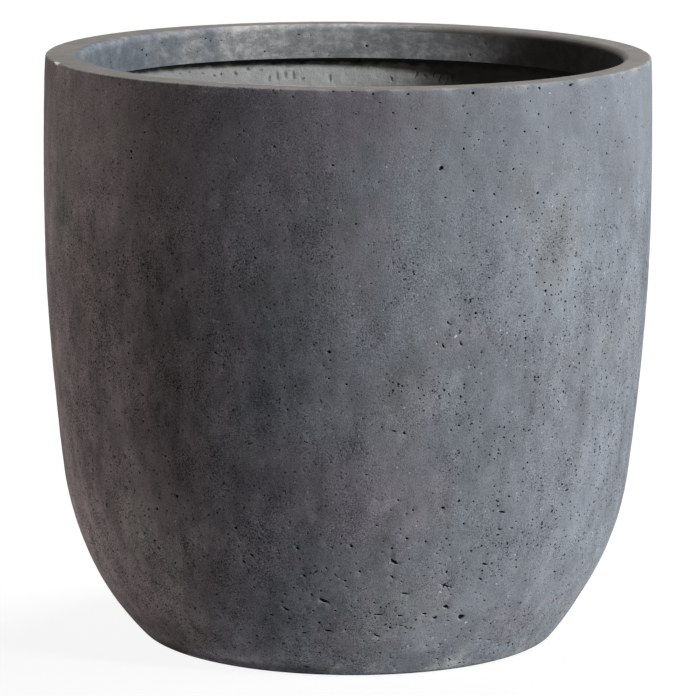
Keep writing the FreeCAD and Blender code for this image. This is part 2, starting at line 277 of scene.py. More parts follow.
def mark_points(mark, widening):
    """The points of one mark: offsets across and along the sheet, and the share of its depth."""
    draw = random.Random(f"{mark.turn:.5f} {mark.along:.5f}")
    phases = {waves: draw.uniform(0, math.tau) for waves in RING_WAVE_SHARES}
    large = mark.half_length > LARGE_MARK
    rings = LARGE_RINGS_SHARES if large else SMALL_RINGS_SHARES
    count = LARGE_RING_POINTS if large else SMALL_RING_POINTS
    cos, sin = math.cos(mark.slant), math.sin(mark.slant)
    for size, deep in rings:
        for step in range(count):
            angle = math.tau * step / count
            wave = 1 + sum(a * math.cos(n * angle + phases[n]) for n, a in RING_WAVE_SHARES.items())
            long = mark.half_length * size * wave * math.cos(angle)
            wide = mark.half_width * size * wave * math.sin(angle)
            yield (long * cos - wide * sin) * widening, long * sin + wide * cos, deep
    yield 0, 0, 1


class Sheet:
    """A section's surface unrolled flat, with its points and triangles. Across is turn by belly radius."""

    def __init__(self, section, marks):
        self.section = section
        self.widening = section.widening([mark.along for mark in marks])
        self.around = math.tau * BELLY_RADIUS
        self.points = []
        self.add_rows(self.find_cleared(marks))
        self.add_marks(marks)
        *values, twin = zip(*self.points)
        self.across, self.along, self.deep, self.pit, self.fresh = np.array(values)
        self.twin = np.array(twin)
        self.triangulate()

    def find_cleared(self, marks):
        """The points of the plain rows that make room for a mark, as (row, column)."""
        self.rows = list(self.section.rows())
        levels = [level for level, _ in self.rows]
        cleared = set()
        for mark, widening in zip(marks, self.widening):
            reach = CLEAR_SHARE * max(mark.half_length, mark.half_width)
            wide = reach * widening
            middle = mark.turn * BELLY_RADIUS
            lowest = bisect_left(levels, mark.along - reach)
            highest = bisect_right(levels, mark.along + reach)
            for row in range(lowest, highest):
                pitch = self.around / self.rows[row][1]
                first, last = math.ceil((middle - wide) / pitch), math.floor((middle + wide) / pitch)
                cleared.update((row, column) for column in range(first, last + 1))
        return cleared

    def add(self, across, along, deep=0, pit=0, fresh=0, twin=None):
        """One point. Its twin is the point that it is joined to, or the point itself."""
        self.points.append((across, along, deep, pit, fresh, len(self.points) if twin is None else twin))

    def add_rows(self, cleared):
        """Plain rows. The last column joins the first, and the last row joins the first row."""
        for row, (level, columns) in enumerate(self.rows):
            start = len(self.points)
            for column in range(columns + 1):
                if (row, column) in cleared:
                    continue
                twin = start if column == columns else None
                if row == len(self.rows) - 1:
                    twin = column % columns
                self.add(self.around * column / columns, level, twin=twin)

    def add_marks(self, marks):
        for mark, widening in zip(marks, self.widening):
            for across, along, deep in mark_points(mark, widening):
                fresh = mark.fresh if deep > FRESH_SHARE else 0
                place = mark.turn * BELLY_RADIUS + across, mark.along + along
                self.add(*place, deep * mark.depth, deep * (1 - mark.fresh), fresh)

    def triangulate(self):
        flat = [Vector(place) for place in zip(self.across, self.along)]
        _, _, faces, origins, _, _ = delaunay_2d_cdt(flat, [], [], 0, SMALLEST)
        self.corners = np.array([[origins[v][0] for v in face] for face in faces])


def new_object(name, data):
    made = bpy.data.objects.new(name, data)
    bpy.context.scene.collection.objects.link(made)
    return made


def turned_piece(name, section, marks=(), relief=None, shift=None, attributes=None):
    """A piece turned from a section. Relief gives how far points stand out, shift how far they lie off the
    axis towards +X, and attributes what the finish needs to know at each point."""
    sheet = Sheet(section, marks)
    along = sheet.along
    angle = SEAM_ANGLE + sheet.across / BELLY_RADIUS
    place, normal = section.place(along)
    ray = np.stack([np.cos(angle), np.sin(angle)], axis=-1)
    points = np.column_stack([ray * place[:, :1], place[:, 1]])
    normals = np.column_stack([ray * normal[:, :1], normal[:, 1]])
    lift = -sheet.deep if relief is None else relief(along, points) - sheet.deep
    points += normals * lift[:, None]
    if shift is not None:
        points[:, 0] += shift(along)

    on_axis = place[:, 0] < SMALLEST
    for end in (0.0, section.length):
        pole = np.flatnonzero(on_axis & np.isclose(along, end))
        sheet.twin[pole] = pole[:1]
    kept, corners = np.unique(sheet.twin[sheet.corners], return_inverse=True)
    corners = corners.reshape(-1, 3)
    whole = (corners != np.roll(corners, 1, axis=1)).all(axis=1)
    mesh = bpy.data.meshes.new(name)
    mesh.from_pydata(points[kept].tolist(), [], corners[whole].tolist())
    values = {"pit": sheet.pit, "fresh": sheet.fresh}
    values |= attributes(along, points) if attributes else {}
    for key, value in values.items():
        mesh.attributes.new(key, "FLOAT", "POINT").data.foreach_set("value", value[kept].astype(np.float32))
    flat = np.column_stack([sheet.across / sheet.around, section.map_height(along)])
    layer = mesh.uv_layers.new(name="OFBake")
    layer.uv.foreach_set("vector", flat[sheet.corners[whole]].astype(np.float32).ravel())
    mesh.shade_smooth()
    mesh.set_sharp_from_angle(angle=SHARP_ANGLE)
    return new_object(name, mesh)


# How much weaker and finer each octave of the relief is than the one before.
OCTAVE_FADE = 1.0
OCTAVE_STEP = 2.0


def smooth(share):
    """An even step from 0 to 1, level at both ends."""
    share = np.clip(share, 0, 1)
    return share * share * (3 - 2 * share)


def rough(points, size, octaves):
    """Smooth noise between about -1 and 1, with lumps of this size and finer ones on them."""
    return np.array([noise.fractal(Vector(p), OCTAVE_FADE, OCTAVE_STEP, octaves) for p in points / size])


class Camera:
    """The photograph's camera, as rays through its pixels."""

    aim = Vector((0, 0, HEIGHT / 2))
    back = Vector((0, -math.cos(CAMERA_ELEVATION), math.sin(CAMERA_ELEVATION)))
    up = Vector((0, math.sin(CAMERA_ELEVATION), math.cos(CAMERA_ELEVATION)))
    right = Vector((1, 0, 0))
    eye = aim + back * CAMERA_DISTANCE

    @classmethod
    def ray(cls, x, y):
        """The way that a pixel of the photograph looks."""
        across, down = x - AIM_PIXEL[0], y - AIM_PIXEL[1]
        cos, sin = math.cos(CAMERA_ROLL), math.sin(CAMERA_ROLL)
        level, drop = cos * across + sin * down, cos * down - sin * across
        return (cls.right * level - cls.up * drop - cls.back * FOCAL_PIXELS).normalized()

    @classmethod
    def make(cls):
        data = bpy.data.cameras.new("camera")
        data.sensor_width = SENSOR_WIDTH
        data.lens = SENSOR_WIDTH * FOCAL_PIXELS / IMAGE_SIZE
        data.shift_x = (IMAGE_SIZE / 2 - AIM_PIXEL[0]) / IMAGE_SIZE
        data.shift_y = (AIM_PIXEL[1] - IMAGE_SIZE / 2) / IMAGE_SIZE
        camera = new_object("camera", data)
        facing = cls.back.to_track_quat("Z", "Y").to_matrix().to_4x4()
        camera.matrix_world = Matrix.Translation(cls.eye) @ facing @ Matrix.Rotation(CAMERA_ROLL, 4, "Z")
        bpy.context.scene.camera = camera


def face_coat_section():
    """From the drain hole out over the base, up the outside, over the lip and back down behind it."""
    corner, heel, side = Mould.face(0, 0, FOOT_ROUNDING, HEIGHT - LIP_OUTER_ROUNDING)
    edge_centre = Mould.side_at(HEIGHT - LIP_OUTER_ROUNDING, LIP_OUTER_ROUNDING)
    edge_start = Mould.side_centre + (edge_centre - Mould.side_centre).normalized() * Mould.side_radius
    side = Arc(Mould.side_centre, side.start, edge_start)
    edge_end = Vector((edge_centre.x, HEIGHT))
    top_end = Vector((MOUTH_RADIUS + LIP_MOUTH_ROUNDING, HEIGHT))
    band_start = Vector((MOUTH_RADIUS, HEIGHT - LIP_MOUTH_ROUNDING))
    mouth_centre = Vector((top_end.x, band_start.y))
    band_back = MOUTH_RADIUS + SKIN
    roof = HEIGHT - SKIN
    inside = backwards(Mould.face(SKIN, SKIN, FOOT_ROUNDING - SKIN, roof))
    return Section([
        shown("base", Line((DRAIN_RADIUS, 0), corner.start), BASE_STEP),
        shown("foot", corner, FOOT_STEP),
        shown("heel", heel),
        shown("side", side),
        edge("edge", Arc(edge_centre, edge_start, edge_end)),
        shown("lip", Line(edge_end, top_end), NARROW_STEP),
        edge("mouth", Arc(mouth_centre, top_end, band_start)),
        shown("band", Line(band_start, (MOUTH_RADIUS, LEDGE)), NARROW_STEP),
        shown("band_foot", Line((MOUTH_RADIUS, LEDGE), (band_back, LEDGE))),
        *hidden(*lines((band_back, LEDGE), (band_back, roof), inside[0].start)),
        *hidden(*inside, Line(inside[-1].end, (DRAIN_RADIUS, SKIN))),
        shown("drain", Line((DRAIN_RADIUS, SKIN), (DRAIN_RADIUS, 0)), NARROW_STEP),
    ])


# Marks that the photograph shows: pixel x and y, length and width in millimetres, and for long ones the
# slant in degrees upwards to the right. First pits. Smaller ones are drawn at random.
SHOWN_PITS = [
    (441, 168, 3.2, 2.6, 60), (419, 171, 1.2, 1.0), (494, 194, 2.0, 1.4, -40), (279, 225, 1.6, 1.3),
    (303, 243, 1.5, 1.2, -30), (255, 258, 2.2, 1.5, -50), (356, 224, 1.5, 1.3), (413, 263, 1.4, 1.2),
    (413, 272, 1.7, 1.1, -40), (352, 316, 2.4, 0.9), (448, 323, 2.8, 1.2, -50), (460, 331, 2.2, 1.0, -30),
    (443, 346, 3.4, 1.3, -70), (461, 344, 2.8, 1.2, -45), (437, 342, 1.6, 1.1, -60),
    (475, 313, 1.8, 1.2, -50), (216, 353, 2.6, 1.5, -20), (280, 365, 1.5, 1.1, -50), (249, 384, 1.4, 1.2),
    (284, 388, 1.4, 1.2), (402, 386, 2.2, 1.2, -50), (418, 388, 1.6, 1.2, -30), (432, 391, 1.5, 1.2),
    (451, 430, 1.8, 1.2, -30), (471, 424, 2.4, 1.1, 20), (395, 298, 1.4, 1.0), (391, 303, 1.4, 1.0, 30),
    (460, 236, 1.5, 1.2), (127, 488, 2.4, 1.2, -50), (177, 496, 2.8, 1.8, -20), (217, 513, 1.6, 1.6),
    (236, 528, 2.0, 1.9), (138, 533, 1.6, 1.5, -50), (351, 546, 2.4, 2.2, -20), (332, 548, 1.6, 1.5),
    (244, 562, 3.2, 1.5, -40), (248, 571, 1.6, 1.4, -60), (304, 576, 2.8, 1.5, -50),
    (345, 581, 2.2, 1.5, -40), (285, 594, 2.0, 1.5, -50), (282, 602, 2.2, 1.5, -40),
    (286, 609, 4.4, 2.0, -30), (272, 615, 2.6, 1.6), (290, 619, 3.0, 1.5, -20), (288, 623, 1.8, 1.6),
    (324, 601, 7.6, 2.4, -32), (313, 611, 1.6, 1.6), (335, 611, 2.4, 1.2, 20), (319, 623, 2.6, 1.8, -10),
    (328, 631, 4.8, 1.8, -6), (304, 633, 4.0, 1.5, 10), (257, 636, 2.2, 2.0), (459, 501, 2.0, 2.0, -40),
    (443, 508, 2.6, 1.9, -10), (413, 510, 1.5, 1.5), (398, 500, 1.6, 1.5, -50), (502, 512, 5.0, 1.6, -14),
    (567, 490, 4.0, 1.5, 10), (481, 546, 2.0, 1.8, -50), (471, 551, 1.8, 1.6), (394, 562, 7.0, 2.0, -42),
    (392, 577, 3.0, 1.6, -40), (446, 572, 1.6, 1.6), (446, 586, 9.0, 1.3, -20), (405, 594, 4.6, 1.8, -8),
    (446, 607, 4.4, 3.2, -15), (461, 617, 5.2, 4.2, 10), (424, 614, 3.8, 1.6, -12),
    (435, 618, 3.2, 2.8, 20), (400, 616, 4.0, 1.5, -4), (379, 615, 5.0, 1.4), (390, 628, 2.2, 2.2),
    (401, 626, 3.4, 1.2, -8), (479, 639, 3.0, 1.8, 8), (488, 640, 3.0, 1.5, -10), (457, 637, 1.6, 1.6),
    (480, 579, 3.2, 1.4, -40), (516, 560, 1.6, 1.5), (516, 567, 1.6, 1.5), (556, 596, 2.0, 1.6, -10),
    (333, 91, 2.0, 1.5), (352, 91, 1.6, 1.2), (373, 94, 2.0, 1.2, 50), (408, 94, 1.8, 1.5),
    (473, 93, 2.4, 1.8, 40), (539, 88, 2.4, 1.5, -40), (571, 85, 3.4, 1.9, 10), (273, 90, 1.6, 1.3, 80),
    (293, 97, 1.5, 1.2), (639, 70, 2.6, 1.2, 20), (646, 81, 1.6, 1.2), (214, 84, 1.5, 1.0),
]
# Pale chips on the lip's outer edge, and pale flecks on the side.
SHOWN_CHIPS = [
    (57, 60, 12.0, 3.6, -8), (550, 93, 1.5, 1.2), (562, 84, 1.4, 1.1), (235, 160, 3.0, 1.1, -45),
    (205, 271, 1.6, 1.1), (620, 190, 4.5, 1.0, 88), (456, 336, 3.0, 1.2, 30), (228, 243, 1.4, 1.0),
    (306, 609, 2.2, 1.0, -30), (335, 618, 2.0, 1.0, -30), (441, 592, 2.6, 1.0, -20),
    (466, 622, 2.4, 1.0, 10),
]
CHIP_DEPTH = 0.0005
# Strokes of the roller that show on the far inside wall.
SHOWN_STROKES = [
    (237, 74, 2.6, 2.8, 20), (249, 70, 3.0, 3.0, 60), (250, 77, 3.4, 2.0, 80), (262, 71, 3.0, 1.8, 10),
    (270, 79, 5.5, 2.2, 84), (278, 76, 6.0, 2.4, 95), (286, 75, 6.5, 2.2, 88), (294, 76, 6.0, 2.1, 92),
    (303, 79, 3.6, 1.6, 30), (330, 78, 5.5, 2.0, 100), (338, 82, 3.2, 1.9, 20), (347, 75, 2.4, 1.5),
    (391, 79, 3.4, 2.5, 120), (396, 82, 4.4, 2.8, 150), (424, 76, 2.4, 1.8), (216, 76, 2.2, 2.0, 150),
    (205, 74, 2.6, 1.5, 170), (192, 73, 2.0, 1.5),
]
MILLIMETRE = 0.001
# Depth as a share of the width, and how finely a ray looks for the face that it meets.
PIT_DEPTH_SHARE = 0.8
STROKE_DEPTH_SHARE = 0.42
LARGEST_DEPTH = 0.0026
RAY_STEPS = 600


def seen_place(section, zones, x, y, far_side=False):
    """Turn and length along the section where a pixel of the photograph sees its near or far side."""
    low, high = section.span(*zones)
    along = np.linspace(low, high, RAY_STEPS)
    outline = section.place(along)[0]
    upwards = np.argsort(outline[:, 1])
    around = BELLY_RADIUS * 2
    reach = np.linspace(CAMERA_DISTANCE - around, CAMERA_DISTANCE + around, RAY_STEPS * 2)
    points = np.array(Camera.eye) + np.outer(reach, np.array(Camera.ray(x, y)))
    limit = np.interp(points[:, 2], outline[upwards, 1], outline[upwards, 0])
    within = np.flatnonzero(np.hypot(points[:, 0], points[:, 1]) < limit)
    order = -1 if far_side else 0
    # A ray that just misses the outline takes its middle point.
    hit = points[within[order] if len(within) else RAY_STEPS]
    turn = (math.atan2(hit[1], hit[0]) - SEAM_ANGLE) % math.tau
    return turn, float(np.interp(hit[2], outline[upwards, 1], along[upwards]))


def shown_mark(place, length, width, slant=0, chip=False, depth_share=PIT_DEPTH_SHARE):
    """A mark at a turn and length along, sized in millimetres and slanted in degrees."""
    half_length, half_width = length * MILLIMETRE / 2, width * MILLIMETRE / 2
    depth = CHIP_DEPTH if chip else min(LARGEST_DEPTH, depth_share * width * MILLIMETRE)
    return Mark(*place, half_length, half_width, math.radians(slant), depth, float(chip))


# Marks are kept apart by their spines. Only marks in neighbouring cells are compared.
MARK_CELL = 0.018
SPINE_SHARES = [-1, -0.5, 0, 0.5, 1]


class MarkField:
    """Marks on one section, kept apart from each other and off the seam."""

    def __init__(self, section):
        self.section = section
        self.marks = []
        self.cells = defaultdict(list)

    def cell(self, mark):
        return int(mark.turn * BELLY_RADIUS / MARK_CELL), int(mark.along / MARK_CELL)

    @staticmethod
    def spine(mark, radius):
        """Points down the middle of a mark, round the surface and along the section."""
        way = Vector((math.cos(mark.slant), math.sin(mark.slant))) * mark.half_length
        return [Vector((mark.turn * radius, mark.along)) + way * share for share in SPINE_SHARES]

    def fits(self, mark):
        radius = BELLY_RADIUS / self.section.widening([mark.along])[0]
        if min(mark.turn, math.tau - mark.turn) * radius < CLEAR_SHARE * mark.half_length:
            return False
        column, row = self.cell(mark)
        near = [m for i in (-1, 0, 1) for j in (-1, 0, 1) for m in self.cells[column + i, row + j]]
        spine = self.spine(mark, radius)
        return all(
            (a - b).length > CLEAR_SHARE * (mark.half_width + other.half_width)
            for other in near
            for a in spine
            for b in self.spine(other, radius)
        )

    def add(self, mark):
        if self.fits(mark):
            self.marks.append(mark)
            self.cells[self.cell(mark)].append(mark)


# Random pits: how many on which zone, then the least and the most of their half length, of their length over
# width, of their slant in degrees, and of their turn from the seam.
PitKind = namedtuple("PitKind", "count zone half_length stretch slant turns", defaults=[(0, math.tau)])
FRONT_SIDE_TURNS = (3.5, 4.5)
FRONT_HEEL_TURNS = (2.7, 4.2)
COAT_PITS = [
    PitKind(46, "heel", (0.0013, 0.0024), (1.6, 3.2), (-45, 5)),
    PitKind(30, "side", (0.0010, 0.0015), (1.1, 2.2), (-70, 10)),
    PitKind(900, "heel", (0.0005, 0.0010), (1.0, 1.8), (-60, 30)),
    PitKind(900, "side", (0.00045, 0.00085), (1.0, 1.6), (-80, 40)),
    PitKind(360, "side", (0.0005, 0.0011), (1.0, 2.0), (-80, 10), FRONT_SIDE_TURNS),
    PitKind(240, "heel", (0.0005, 0.0011), (1.0, 2.4), (-50, 10), FRONT_HEEL_TURNS),
    PitKind(40, "foot", (0.0005, 0.0010), (1.0, 1.8), (-30, 30)),
    PitKind(50, "lip", (0.00045, 0.0008), (1.0, 1.4), (0, 180)),
    PitKind(90, "band", (0.0005, 0.0011), (1.0, 2.0), (-30, 30)),
    PitKind(60, "base", (0.0006, 0.0014), (1.0, 2.0), (0, 180)),
]
PIT_SIZE_POWER = 2.2
DEPTH_SHARES = (1.4, 2.2)


def draw_pits(field, kinds, seed):
    """Adds random pits, most of them small, each well inside its zone."""
    draw = random.Random(seed)
    for kind in kinds:
        low, high = field.section.span(kind.zone)
        smallest, largest = kind.half_length
        for _ in range(kind.count):
            half_length = smallest + (largest - smallest) * draw.random() ** PIT_SIZE_POWER
            half_width = half_length / draw.uniform(*kind.stretch)
            margin = CLEAR_SHARE * half_length
            along = draw.uniform(low + margin, high - margin)
            slant = math.radians(draw.uniform(*kind.slant))
            depth = min(LARGEST_DEPTH, draw.uniform(*DEPTH_SHARES) * half_width)
            turn = draw.uniform(*kind.turns)
            field.add(Mark(turn, along, half_length, half_width, slant, depth))


# Relief of the face coat: size and height of its wobble and grain. Then how wide its edge is worn, and where
# along X the rounding of the mouth goes from the band's colour to the lip's.
WOBBLE_SIZE = 0.09
WOBBLE = 0.0004
GRAIN_SIZE = 0.012
GRAIN = 0.00012
WEAR_WIDTH = 0.0022
BAND_LAPS = 0.0
LIP_LAPS = 0.08


def make_face_coat():
    """The pitted face coat: base, outside, lip and the band inside the mouth."""
    section = face_coat_section()
    field = MarkField(section)
    outside = ("foot", "heel", "side", "edge")
    for x, y, *form in SHOWN_CHIPS:
        field.add(shown_mark(seen_place(section, outside, x, y), *form, chip=True))
    for x, y, *form in SHOWN_PITS:
        field.add(shown_mark(seen_place(section, outside, x, y), *form))
    draw_pits(field, COAT_PITS, seed=11)

    def relief(along, points):
        wall = section.share(along, "heel", "side")
        level = section.share(along, "base", "lip")
        wobble = WOBBLE * rough(points, WOBBLE_SIZE, octaves=2)
        grain = GRAIN * rough(points, GRAIN_SIZE, octaves=3)
        return (wobble + grain) * wall - np.abs(grain) * level + grain * section.share(along, "band")

    def shift(along):
        base_end, heel = section.span("base")[1], section.span("heel")[0]
        lip, mouth = section.span("lip")[0], section.span("mouth")[0]
        roof = section.span("band_foot")[1] + HEIGHT - SKIN - LEDGE
        roof_end = section.starts[np.searchsorted(section.starts, roof + EDGE_STEP)]
        foot = [base_end * FOOT_SHIFT_START_SHARE, base_end, heel + FOOT_SHIFT_HEIGHT]
        foot_share = np.interp(along, foot, [0, 1, 0])
        mouth_share = np.interp(along, [lip, mouth, roof, roof_end], [0, 1, 1, 0])
        return FOOT_SHIFT * foot_share + MOUTH_SHIFT * mouth_share

    def attributes(along, points):
        edge_middle = sum(section.span("edge")) / 2
        mouth_share = section.share(along, "mouth")
        lip_share = smooth((points[:, 0] - BAND_LAPS) / (LIP_LAPS - BAND_LAPS))
        return {
            "lip": section.share(along, "lip") + mouth_share * lip_share,
            "band": section.share(along, "band", "band_foot") + mouth_share * (1 - lip_share),
            "wear": np.exp(-(((along - edge_middle) / WEAR_WIDTH) ** 2)),
        }

    return turned_piece("face_coat", section, field.marks, relief, shift, attributes)


LEDGE_GRAIN = 0.0012


def make_lip_packing():
    """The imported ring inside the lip. Its rough underside is the ledge below the mouth."""
    offset = SKIN + BOND
    roof = HEIGHT - SKIN - BOND
    inner = MOUTH_RADIUS + SKIN + BOND
    foot, top = Mould.side_at(LEDGE, offset), Mould.side_at(roof, offset)
    section = Section([
        *hidden(Arc(Mould.side_centre, foot, top), *lines(top, (inner, roof), (inner, LEDGE))),
        shown("ledge", Line((inner, LEDGE), foot), NARROW_STEP),
    ])

    def relief(along, points):
        grain = LEDGE_GRAIN * rough(points, GRAIN_SIZE, octaves=3)
        return -np.abs(grain) * section.share(along, "ledge")

    def shift(along):
        return MOUTH_SHIFT * np.interp(along, section.starts, [0, 0, 1, 1, 0])

    return turned_piece("lip_packing", section, (), relief, shift)


# Marks on the inside: groups of strokes side by side, as the roller leaves them, and pits. A group leans by
# degrees from upright, and its strokes spread by radians.
STROKE_GROUPS = 110
STROKES_IN_GROUP = (3, 8)
STROKE_PITCH = 0.0052
STROKE_PITCH_SHARES = (0.8, 1.2)
STROKE_HALF_LENGTH = (0.0018, 0.0046)
STROKE_HALF_WIDTH = (0.0005, 0.0009)
STROKE_DEPTH = (0.0005, 0.0010)
STROKE_LEAN = 25
STROKE_SLANT_SPREAD = 0.12
INSIDE_PITS = [PitKind(420, "inside", (0.0006, 0.0018), (1.0, 2.4), (-90, 90))]
# Relief of the inside: size and height of lumps and fibres, where it fades, and the hollow under the lip.
LUMP_SIZE = 0.03
LUMP = 0.0009
FIBRE_SIZE = 0.006
FIBRE = 0.00035
RELIEF_FADE = 0.004
UNDERCUT_DEPTH = 0.0042
UNDERCUT_HEIGHT = 0.02


def draw_strokes(field, seed):
    """Groups of short strokes, as a ribbed roller presses them into the wet backing."""
    draw = random.Random(seed)
    low, high = field.section.span("inside")
    for _ in range(STROKE_GROUPS):
        turn, along = draw.uniform(0, math.tau), draw.uniform(low, high)
        lean = math.pi / 2 + math.radians(draw.uniform(-STROKE_LEAN, STROKE_LEAN))
        for stroke in range(draw.randint(*STROKES_IN_GROUP)):
            half_length = draw.uniform(*STROKE_HALF_LENGTH)
            margin = CLEAR_SHARE * half_length
            where = min(max(along + draw.gauss(0, half_length), low + margin), high - margin)
            pitch = STROKE_PITCH * draw.uniform(*STROKE_PITCH_SHARES)
            spin = (turn + stroke * pitch / BELLY_RADIUS) % math.tau
            slant = lean + draw.gauss(0, STROKE_SLANT_SPREAD)
            half_width, depth = draw.uniform(*STROKE_HALF_WIDTH), draw.uniform(*STROKE_DEPTH)
            field.add(Mark(spin, where, half_length, half_width, slant, depth))


def make_inner_wall():
    """The rough backing on the wall, with its cove out to the floor."""
    offset = BASE_LAYER
    back = Mould.face(offset, BASE_LAYER, FOOT_ROUNDING - offset, LAYER_TOP)
    inside = backwards(Mould.face(offset + BACKING, FLOOR, COVE, LAYER_TOP))
    seam = SLAB_RADIUS + BOND
    section = Section([
        *hidden(Line((seam, BASE_LAYER), back[0].start), *back),
        shown("top", Line(back[-1].end, inside[0].start)),
        *[shown("inside", curve) for curve in inside],
        shown("margin", Line(inside[-1].end, (seam, FLOOR)), NARROW_STEP),
        *hidden(Line((seam, FLOOR), (seam, BASE_LAYER))),
    ])
    field = MarkField(section)
    for x, y, *form in SHOWN_STROKES:
        place = seen_place(section, ["inside"], x, y, far_side=True)
        field.add(shown_mark(place, *form, depth_share=STROKE_DEPTH_SHARE))
    draw_strokes(field, seed=5)
    draw_pits(field, INSIDE_PITS, seed=6)

    def relief(along, points):
        low, high = section.span("inside")
        fade = np.clip(np.minimum(along - low, high - along) / RELIEF_FADE, 0, 1)
        lumps = LUMP * rough(points, LUMP_SIZE, octaves=2)
        fibres = FIBRE * rough(points, FIBRE_SIZE, octaves=3)
        under_lip = smooth(1 - (LEDGE - points[:, 2]) / UNDERCUT_HEIGHT) * section.share(along, "inside")
        return fade * (lumps + fibres) - UNDERCUT_DEPTH * under_lip

    return turned_piece("inner_wall", section, field.marks, relief)


FLOOR_PITS = [PitKind(60, "floor", (0.0006, 0.0016), (1.0, 2.0), (-90, 90))]
TROWEL = 0.0009


def make_floor():
    """The trowelled floor slab, with the drain hole."""
    section = Section([
        *hidden(*lines((DRAIN_RADIUS, BASE_LAYER), (SLAB_RADIUS, BASE_LAYER), (SLAB_RADIUS, FLOOR))),
        shown("floor", Line((SLAB_RADIUS, FLOOR), (DRAIN_RADIUS, FLOOR))),
        shown("drain", Line((DRAIN_RADIUS, FLOOR), (DRAIN_RADIUS, BASE_LAYER)), NARROW_STEP),
    ])
    field = MarkField(section)
    draw_pits(field, FLOOR_PITS, seed=7)

    def relief(along, points):
        clear = np.hypot(points[:, 0], points[:, 1]) - PLUG_RADIUS - RELIEF_FADE
        fade = np.clip(clear / RELIEF_FADE, 0, 1) * section.share(along, "floor")
        return -fade * np.abs(TROWEL * rough(points, LUMP_SIZE, octaves=3))

    return turned_piece("floor", section, field.marks, relief)


PLUG_STEP = 0.0012
PLUG_COLUMNS = 96


def make_plug():
    """The moulded rubber plug: a dished flange on the floor and a ribbed, hollow stem in the drain hole."""
    rib = DRAIN_RADIUS - PLUG_FIT
    stem = rib - RIB_DEPTH
    foot = PLUG_FOOT + STEM_CHAMFER
    roof = PLUG_TOP - CORE_ROOF
    stem_corners = [(0, roof), (CORE_RADIUS, roof), (CORE_RADIUS, PLUG_FOOT)]
    stem_corners += [(stem - STEM_CHAMFER, PLUG_FOOT), (stem, foot)]
    for index in range(1, RIB_COUNT + 1):
        middle = foot + (FLOOR - foot) * index / (RIB_COUNT + 1)
        under, over = middle - RIB_WIDTH / 2, middle + RIB_WIDTH / 2
        stem_corners += [(stem, under), (rib, over), (stem, over)]
    rounding_foot = (PLUG_RADIUS, PLUG_TOP - FLANGE_ROUNDING)
    rounding_top = (PLUG_RADIUS - FLANGE_ROUNDING, PLUG_TOP)
    stem_corners += [(stem, FLOOR), (PLUG_RADIUS, FLOOR), rounding_foot]
    dish_edge = PLUG_RADIUS - 2 * FLANGE_ROUNDING
    dish = PLUG_TOP - FLANGE_DISH
    top_corners = [rounding_top, (dish_edge, PLUG_TOP), (dish_edge - FLANGE_ROUNDING, dish), (0, dish)]
    curves = lines(*stem_corners)
    curves.append(Arc((rounding_top[0], rounding_foot[1]), rounding_foot, rounding_top))
    curves += lines(*top_corners)
    section = Section([Stretch("plug", curve, PLUG_STEP, PLUG_COLUMNS) for curve in curves])
    return turned_piece("rubber_plug", section)


# The noise of a finish: the size of its lumps in metres, then how fine, harsh, drawn out and swirled it is.
# From its first limit to its second, it goes from the first value that it gives to the second. With an axis
# it makes an edge, uneven by up to its reach, and its limits are places there. Its colour lies over others.
Texture = namedtuple(
    "Texture",
    "size detail roughness stretch distortion limits gives axis reach colour",
    defaults=[3, 0.5, (1, 1, 1), 0, (0, 1), (0, 1), None, 0, None],
)
Dots = namedtuple("Dots", "pitch radius share")
DOT_CORE_SHARE = 0.6
# Sockets of a mix node that hold colours, by number, because others have the same names.
MIX_ONE, MIX_OTHER, MIX_RESULT = 6, 7, 2
WHITE = (1, 1, 1, 1)


class Nodes:
    """A node tree, built in short steps."""

    def __init__(self, tree):
        self.tree = tree

    def node(self, kind, settings=None, **inputs):
        made = self.tree.nodes.new(kind)
        for key, value in (settings or {}).items():
            setattr(made, key, value)
        for key, value in inputs.items():
            self.feed(made.inputs[key], value)
        return made

    def feed(self, socket, value):
        if isinstance(value, bpy.types.NodeSocket):
            self.tree.links.new(value, socket)
        else:
            socket.default_value = value

    def maths(self, operation, *values):
        made = self.node("ShaderNodeMath", {"operation": operation})
        for socket, value in zip(made.inputs, values):
            self.feed(socket, value)
        return made.outputs["Value"]

    def times(self, *values):
        return reduce(partial(self.maths, "MULTIPLY"), values)

    def plus(self, *values):
        return reduce(partial(self.maths, "ADD"), values)

    def most(self, *values):
        return reduce(partial(self.maths, "MAXIMUM"), values)

    def between(self, value, limits, gives=(0, 1), way="SMOOTHSTEP"):
        """A value carried from between its limits to between those that it gives, and held at both ends."""
        made = self.node("ShaderNodeMapRange", {"clamp": True, "interpolation_type": way})
        for socket, given in zip(made.inputs, (value, *limits, *gives)):
            self.feed(socket, given)
        return made.outputs["Result"]

    def seen(self):
        """1 for rays from the camera, and for those that mirrors and glass send on."""
        path = self.node("ShaderNodeLightPath").outputs
        return self.most(path["Is Camera Ray"], path["Is Glossy Ray"], path["Is Transmission Ray"])


